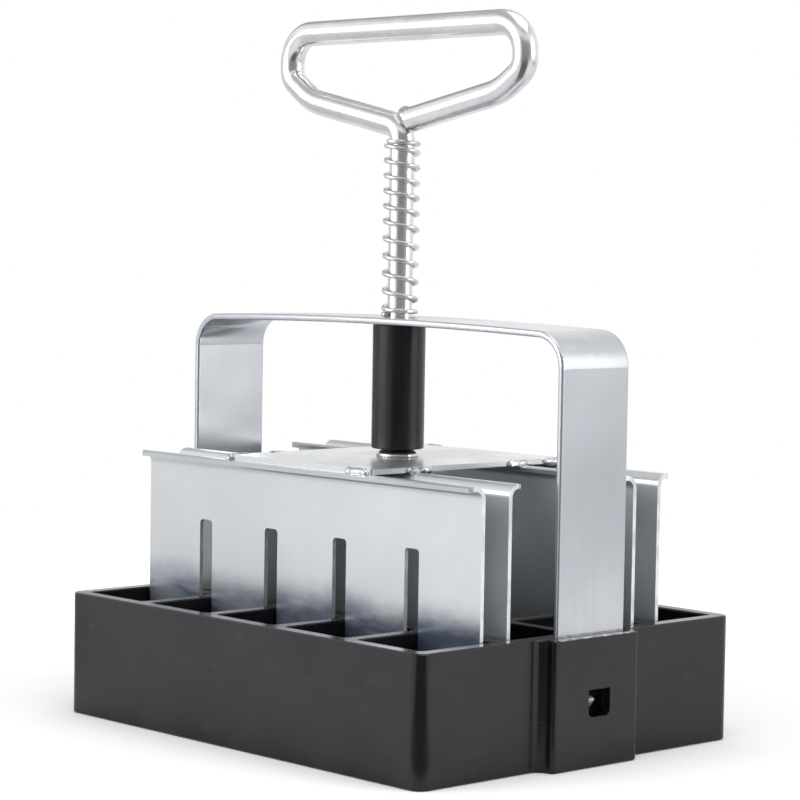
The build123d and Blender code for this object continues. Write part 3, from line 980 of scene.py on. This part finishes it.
@dataclass
class PressGroup:
    """The bridge plate, the four combs, their welds and the press plates.

    Attributes:
        finishes: The blocker's finishes.
        combs: Nodes of the combs.
        rows: Rows of press plates.
        columns: Press plates in a row.
        bead_height: Height of the weld beads' centres, in mm.
        inner: Place along and across of the four beads between the combs, in mm.
        outer: Place of the two crosswise beads nearer the plate's corners, in mm.
        side: Place of the two lengthwise beads at the plate's long sides, in mm.
        half: Half of a bead's straight part, in mm.
        radius: A bead's radius, in mm.
        core: What is left of the radius under the lumps, as a share.
        middle: Width of the ball's middle that is drawn out, as a share of the radius.
        depth: Height of the lumps, in mm.
        lump: Size of the lumps, in mm.
        seed: Shifts the first bead's lumps.
        seed_step: Shift from one bead's lumps to the next.
    """

    finishes: FinishSet
    combs: tuple[str, ...] = (
        "front_outer_comb", "front_inner_comb", "back_inner_comb", "back_outer_comb")
    rows: int = 4
    columns: int = 5
    bead_height: float = 61.95
    inner: Pair = (24.1, 15.6)
    outer: Pair = (24.1, 27.4)
    side: Pair = (19.5, 30.1)
    half: float = 2.7
    radius: float = 1.1
    core: float = 0.94
    middle: float = 0.35
    depth: float = 0.22
    lump: float = 1.3
    seed: float = 0.5
    seed_step: float = 3.1

    def build(self) -> None:
        """Dresses the sheet pieces and models the weld beads."""
        dress(list(self.combs), self.finishes.sheet.build())
        dress(["bridge_plate"], self.finishes.plate.build())
        presses = [f"press_plate_r{row}_c{column}" for row in range(1, self.rows + 1)
                   for column in range(1, self.columns + 1)]
        dress(presses, self.finishes.press.build())
        bm = bmesh.new()
        for index, (along, across, turn) in enumerate(self._sites()):
            self._bead(bm, (along, across, self.bead_height), turn, index * self.seed_step + self.seed)
        finish_piece(bm, "bridge_weld_lumps", self.finishes.weld.build(), Body.PLUNGER,
                     ("bridge_weld_beads",))

    def _sites(self) -> list[Triple]:
        """Lists the weld beads.

        Returns:
            Each bead's place along and across in mm, and its turn in degrees.
        """
        crosswise, lengthwise = 90.0, 0.0
        ends = (-1, 1)
        sites = [(x * self.inner[0], y * self.inner[1], crosswise) for x in ends for y in ends]
        sites += [(end * self.outer[0], end * self.outer[1], crosswise) for end in ends]
        sites += [(end * self.side[0], -end * self.side[1], lengthwise) for end in ends]
        return sites

    def _bead(self, bm: bmesh.types.BMesh, place: Triple, turn: float, seed: float) -> None:
        """Adds one lumpy bead of weld.

        Args:
            bm: The bmesh that takes it.
            place: Its centre, in mm.
            turn: Its turn, in degrees.
            seed: Shifts its lumps.
        """
        verts = bmesh.ops.create_icosphere(bm, subdivisions=5, radius=self.radius * self.core * MM)["verts"]
        for vert in verts:
            vert.co.x += self.half * MM * math.tanh(vert.co.x / (self.middle * self.radius * MM))
        bmesh.ops.rotate(bm, verts=verts, cent=(0, 0, 0), matrix=turn_about_z(turn))
        bmesh.ops.translate(bm, verts=verts, vec=Vector(place) * MM)
        bm.normal_update()
        roughen(verts, self.depth, self.lump, seed)


# --- Studio ---


@dataclass(frozen=True)
class CurvedCard:
    """A card bent round part of the object, which only reflections see.

    Attributes:
        name: The card's name.
        near: Radius and height of one edge, in metres.
        far: Radius and height of the other edge, in metres.
        start: Where it starts, in degrees.
        stop: Where it ends, in degrees.
        level: How bright it is, where 1 is white.
        steps: Steps round its bend.
    """

    name: str
    near: Pair
    far: Pair
    start: float
    stop: float
    level: float
    steps: int = 24

    def shape(self) -> bmesh.types.BMesh:
        """Bends the card.

        Returns:
            Its shape, in metres.
        """
        bm = bmesh.new()
        verts = [bm.verts.new((radius, 0.0, height)) for radius, height in (self.near, self.far)]
        edge = bm.edges.new(verts)
        bmesh.ops.rotate(bm, verts=verts, cent=(0, 0, 0), matrix=turn_about_z(self.start))
        bmesh.ops.spin(bm, geom=verts + [edge], cent=(0, 0, 0), axis=(0, 0, 1),
                       angle=math.radians(self.stop - self.start), steps=self.steps, use_duplicate=False)
        return bm


@dataclass(frozen=True)
class FlatDisc:
    """A round level sheet, for the floor and the ceiling.

    Attributes:
        name: The disc's name.
        radius: Its radius, in metres.
        height: Its height, in metres.
        level: How bright it is where it is a card, where 1 is white.
        segments: Sides of its rim.
    """

    name: str
    radius: float
    height: float
    level: float = 1.0
    segments: int = 64

    def shape(self) -> bmesh.types.BMesh:
        """Lays the disc.

        Returns:
            Its shape, in metres.
        """
        bm = bmesh.new()
        made = bmesh.ops.create_circle(bm, cap_ends=True, segments=self.segments, radius=self.radius)
        bmesh.ops.translate(bm, verts=made["verts"], vec=(0.0, 0.0, self.height))
        return bm


@dataclass(frozen=True)
class SoftBox:
    """An area lamp.

    Attributes:
        name: The lamp's name.
        place: Where it hangs, in metres.
        target: Where it points, in metres.
        size: Its width and height, in metres.
        power: Its power, in watts.
    """

    name: str
    place: Triple
    target: Triple
    size: Pair
    power: float

    def hang(self) -> None:
        """Hangs the lamp."""
        data = bpy.data.lights.new(self.name, "AREA")
        data.shape = "RECTANGLE"
        data.size, data.size_y = self.size
        data.energy = self.power
        lamp = bpy.data.objects.new(self.name, data)
        bpy.context.scene.collection.objects.link(lamp)
        aim = Vector(self.target) - Vector(self.place)
        turn = aim.to_track_quat("-Z", "Y").to_matrix().to_4x4()
        lamp.matrix_world = Matrix.Translation(self.place) @ turn
        lamp.visible_camera = False


@dataclass
class Studio:
    """Floor, world, lamps, reflected cards and camera.

    Attributes:
        camera_place: Where the camera stands, in metres.
        yaw: Its direction in the ground plane, in radians.
        pitch: How far it looks down, in radians.
        roll: Its roll, in radians.
        lens: Focal length, in mm.
        sensor: Width of the sensor, in mm.
        clip: Nearest and farthest distance that it sees, in metres.
        sky: Colour of the world's light.
        sky_level: Strength of that light.
        floor: The floor. It lies a hair under the grid.
        floor_pale: The floor's two pale colours.
        floor_specks: Pattern of the two.
        floor_seen: Distances from the middle where the floor starts to turn white and is
            white, in metres.
        floor_mirrored: Colour of the floor in reflections.
        glow_mirrored: Colour of its white part in reflections.
        ceiling: The card overhead.
        cards: The walls and mats that reflections see.
        lamps: The soft boxes.
    """

    camera_place: Triple = (0.46401, -0.43136, 0.11505)
    yaw: float = 2.39198
    pitch: float = 0.061926
    roll: float = 0.016098
    lens: float = 123.53
    sensor: float = 36.0
    clip: Pair = (0.01, 60.0)
    sky: Colour = (0.97, 0.985, 1.0)
    sky_level: float = 0.72
    floor: FlatDisc = FlatDisc("floor", radius=12.0, height=-0.0001)
    floor_pale: tuple[Colour, Colour] = ((0.93, 0.93, 0.93), (0.95, 0.95, 0.95))
    floor_specks: Streaks = Streaks(scale=9.0, low=0.3, high=0.7)
    floor_seen: Pair = (0.16, 0.5)
    floor_mirrored: Colour = (0.78, 0.785, 0.79)
    glow_mirrored: Colour = (0.85, 0.855, 0.86)
    ceiling: FlatDisc = FlatDisc("grey_ceiling", radius=1.2, height=1.25, level=0.55)
    cards: tuple[CurvedCard, ...] = (
        CurvedCard("dark_camera_wall", (1.12, 0.0), (1.12, 0.75), 282.0, 374.0, level=0.3),
        CurvedCard("dark_camera_mat", (0.085, 0.001), (1.1, 0.001), 288.0, 346.0, level=0.14),
        CurvedCard("grey_right_mat", (0.5, 0.0012), (1.25, 0.0012), 28.0, 58.0, level=0.5),
        CurvedCard("grey_left_mat", (0.13, 0.0011), (1.25, 0.0011), 183.0, 219.0, level=0.68),
        CurvedCard("grey_left_wall", (1.26, 0.0), (1.26, 0.5), 183.0, 219.0, level=0.72),
        CurvedCard("grey_back_wall", (1.3, 0.4), (1.3, 1.24), 137.0, 174.0, level=0.4),
    )
    lamps: tuple[SoftBox, ...] = (
        SoftBox("left_softbox", (-0.55, -1.05, 0.42), (0.0, 0.0, 0.08), (0.9, 0.7), power=7.0),
        SoftBox("right_softbox", (1.15, 0.5, 0.42), (0.0, 0.0, 0.08), (0.9, 0.7), power=6.0),
        SoftBox("top_softbox", (0.1, 0.1, 1.2), (0.0, 0.0, 0.05), (1.2, 1.2), power=6.0),
    )

    def build(self) -> None:
        """Builds the studio."""
        self._camera()
        self._world()
        self._floor()
        for card in (self.ceiling, *self.cards):
            self._card(card)
        for lamp in self.lamps:
            lamp.hang()

    def _camera(self) -> None:
        """Places the camera."""
        data = bpy.data.cameras.new("studio_camera")
        data.sensor_width = self.sensor
        data.lens = self.lens
        data.clip_start, data.clip_end = self.clip
        camera = bpy.data.objects.new("studio_camera", data)
        bpy.context.scene.collection.objects.link(camera)
        ahead = Vector((math.cos(self.yaw) * math.cos(self.pitch), math.sin(self.yaw) * math.cos(self.pitch),
                        -math.sin(self.pitch)))
        right = Vector((math.sin(self.yaw), -math.cos(self.yaw), 0.0))
        up = right.cross(ahead)
        across = right * math.cos(self.roll) + up * math.sin(self.roll)
        upward = up * math.cos(self.roll) - right * math.sin(self.roll)
        turn = Matrix((across, upward, -ahead)).transposed().to_4x4()
        camera.matrix_world = Matrix.Translation(self.camera_place) @ turn
        bpy.context.scene.camera = camera

    @staticmethod
    def _rays(pad: NodePad) -> tuple[bpy.types.NodeSocket, bpy.types.NodeSocket]:
        """Finds the rays that show a backdrop and don't gather its light.

        Args:
            pad: Pad of the material or world.

        Returns:
            Whether a ray is a reflection, and whether it shows the backdrop at all.
        """
        path = pad.add("LightPath")
        mirrored = path.outputs["Is Glossy Ray"]
        indirect = pad.math("MAXIMUM", mirrored, path.outputs["Is Transmission Ray"])
        return mirrored, pad.math("MAXIMUM", path.outputs["Is Camera Ray"], indirect)

    def _world(self) -> None:
        """Sets a world that lights the object at a plain level and shows as white."""
        world = bpy.data.worlds.new("white_room")
        world.use_nodes = True
        bpy.context.scene.world = world
        pad = NodePad(world.node_tree)
        _, seen = self._rays(pad)
        soft = pad.feed(pad.add("Background"), Color=self.sky, Strength=self.sky_level)
        white = pad.feed(pad.add("Background"), Color=WHITE, Strength=1.0)
        mix = pad.chain("MixShader", seen, soft.outputs[0], white.outputs[0])
        pad.feed(pad.add("OutputWorld"), Surface=mix.outputs[0])

    def _floor(self) -> None:
        """Lays a pale floor that keeps the shadow and turns white further out."""
        floor = link_mesh(self.floor.shape(), self.floor.name)
        material, pad = start_material("pale_floor")
        where = pad.add("TexCoord").outputs["Object"]
        reach = pad.chain("VectorMath", where, operation="LENGTH")
        far = pad.span(reach.outputs["Value"], *self.floor_seen)
        mirrored, seen = self._rays(pad)
        pale = pad.mix(self.floor_specks.place(pad, where), *self.floor_pale)
        pale = pad.mix(mirrored, pale, self.floor_mirrored)
        matt = pad.feed(pad.add("BsdfDiffuse"), Color=pale, Roughness=0.5)
        level = pad.mix(mirrored, WHITE, self.glow_mirrored)
        glow = pad.feed(pad.add("Emission"), Color=level, Strength=1.0)
        mix = pad.chain("MixShader", pad.math("MULTIPLY", far, seen), matt.outputs[0], glow.outputs[0])
        pad.feed(pad.add("OutputMaterial"), Surface=mix.outputs[0])
        floor.data.materials.append(material)

    @staticmethod
    def _card(card: CurvedCard | FlatDisc) -> None:
        """Hangs a card that only reflections see.

        Args:
            card: The card.
        """
        made = link_mesh(card.shape(), card.name)
        material, pad = start_material(card.name + "_cloth")
        glow = pad.feed(pad.add("Emission"), Color=WHITE, Strength=card.level)
        pad.feed(pad.add("OutputMaterial"), Surface=glow.outputs[0])
        made.data.materials.append(material)
        for kind in ("camera", "diffuse", "shadow", "transmission", "volume_scatter"):
            setattr(made, "visible_" + kind, False)


def main() -> None:
    """Builds the blocker's looks and the studio."""
    logging.basicConfig(level=logging.INFO, format="%(message)s")
    bpy.context.scene.view_settings.view_transform = "Standard"
    finishes = FinishSet()
    for assembly in (BlockGrid(finishes), HandleStrap(finishes), ReturnSpring(finishes), PushRod(finishes),
                     PressGroup(finishes)):
        log.info("building %s", type(assembly).__name__)
        assembly.build()
    Studio().build()


if __name__ == "__main__":
    main()
